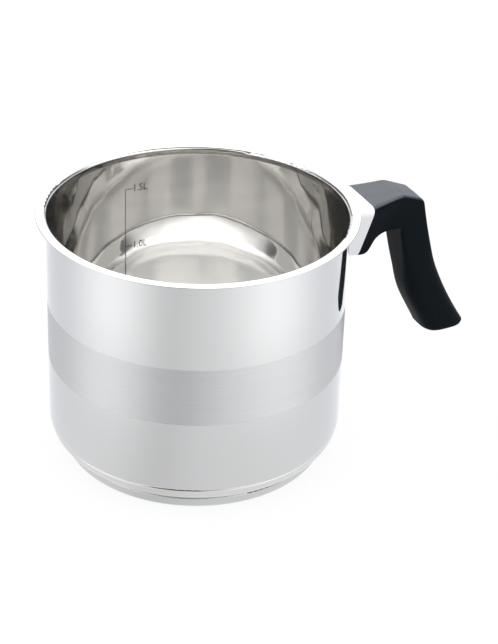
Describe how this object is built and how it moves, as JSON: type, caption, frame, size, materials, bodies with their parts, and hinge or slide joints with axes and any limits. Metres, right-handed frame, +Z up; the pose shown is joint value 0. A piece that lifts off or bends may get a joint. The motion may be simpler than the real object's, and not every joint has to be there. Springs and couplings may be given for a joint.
{
  "type": "candle melting pot",
  "caption": "Round polished steel pouring pot with an outward rim, a capsule base and one black drop handle behind a steel flame guard.",
  "frame": {"origin": "middle of the flat face that the pot stands on", "axes": "+Z up along the pot's axis, +X out along the handle"},
  "size_m": [0.222, 0.1514, 0.1248],
  "materials": {
    "pot_steel": "mirror-polished stainless steel inside and out, with one band of fine horizontal brushing around the outside",
    "base_aluminium": "bare rolled aluminium",
    "base_steel": "satin-polished magnetic stainless steel",
    "bracket_steel": "plain pressed steel",
    "guard_steel": "polished stainless steel",
    "handle_black": "satin black phenolic moulding",
    "screw_steel": "nickel-plated steel",
    "washer_steel": "zinc-plated spring steel"
  },
  "bodies": {
    "root": {"pot_shell": "pot_steel", "base_core": "base_aluminium", "base_cap": "base_steel", "saddle_bracket": "bracket_steel", "flame_guard": "guard_steel", "handle": "handle_black", "handle_screw": "screw_steel", "lock_washer": "washer_steel"}
  },
  "joints": []
}
